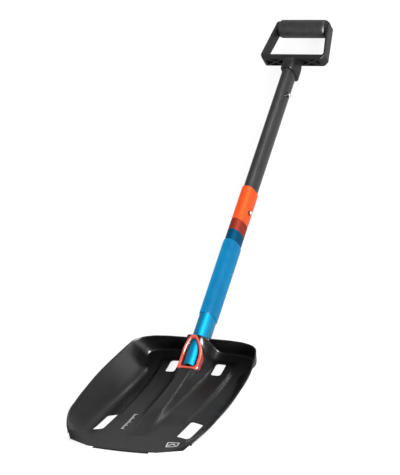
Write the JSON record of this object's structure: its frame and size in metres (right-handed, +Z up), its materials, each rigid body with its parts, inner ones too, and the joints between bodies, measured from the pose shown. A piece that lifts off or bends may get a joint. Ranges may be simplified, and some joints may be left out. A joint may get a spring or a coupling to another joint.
{
  "type": "avalanche shovel",
  "caption": "Telescoping avalanche shovel: D handle, oval two-part shaft with spring buttons, foam sleeve, and a removable stamped scoop blade with a hoe socket.",
  "frame": {"origin": "middle of the bounding box, on the ground that the shovel lies on, scoop up", "axes": "+Y along the shaft from the blade to the handle, +X across the blade, +Z up out of the scoop"},
  "size_m": [0.244, 0.8543, 0.1384],
  "materials": {
    "blade_metal": "satin black anodised aluminium with bare ground front edge",
    "cradle_metal": "black",
    "collar_plastic": "orange-red moulding",
    "lower_tube": "blue anodised, orange at the mouth",
    "grip_rubber": "light blue, finely dotted",
    "upper_tube": "dark grey satin anodised",
    "handle_plastic": "black glass-filled nylon",
    "cover_rubber": "black",
    "steel": "stainless",
    "spring_steel": "plain"
  },
  "bodies": {
    "blade": {"blade": "blade_metal", "shaft_cradle": "cradle_metal", "hoe_collar": "collar_plastic"},
    "lower_shaft": {"lower_shaft": "lower_tube", "grip_sleeve": "grip_rubber", "blade_lock_spring": "spring_steel"},
    "upper_shaft": {"upper_shaft": "upper_tube", "handle_frame": "handle_plastic", "grip_cover": "cover_rubber", "extended_lock_spring": "spring_steel", "stowed_lock_spring": "spring_steel"},
    "extended_lock": {"extended_lock_button": "steel"},
    "stowed_lock": {"stowed_lock_button": "steel"},
    "blade_lock": {"blade_lock_button": "steel"}
  },
  "joints": [
    {"name": "shaft_release", "type": "slide", "parent": "blade", "child": "lower_shaft", "axis": [0, 1, 0], "range_m": [0, 0.12], "deforming": ["blade_lock_button", "blade_lock_spring"]},
    {"name": "telescope", "type": "slide", "parent": "lower_shaft", "child": "upper_shaft", "axis": [0, 1, 0], "range_m": [-0.227, 0], "deforming": ["extended_lock_button", "extended_lock_spring", "stowed_lock_button", "stowed_lock_spring"]},
    {"name": "extended_lock_press", "type": "slide", "parent": "upper_shaft", "child": "extended_lock", "axis": [-1, 0, 0], "range_m": [0, 0.0065], "stiffness_N_per_m": 1500, "springref_m": -0.002},
    {"name": "stowed_lock_press", "type": "slide", "parent": "upper_shaft", "child": "stowed_lock", "axis": [-1, 0, 0], "range_m": [0, 0.0065], "stiffness_N_per_m": 1500, "springref_m": -0.002},
    {"name": "blade_lock_press", "type": "slide", "parent": "lower_shaft", "child": "blade_lock", "axis": [1, 0, 0], "range_m": [0, 0.0098], "stiffness_N_per_m": 1000, "springref_m": -0.002}
  ]
}
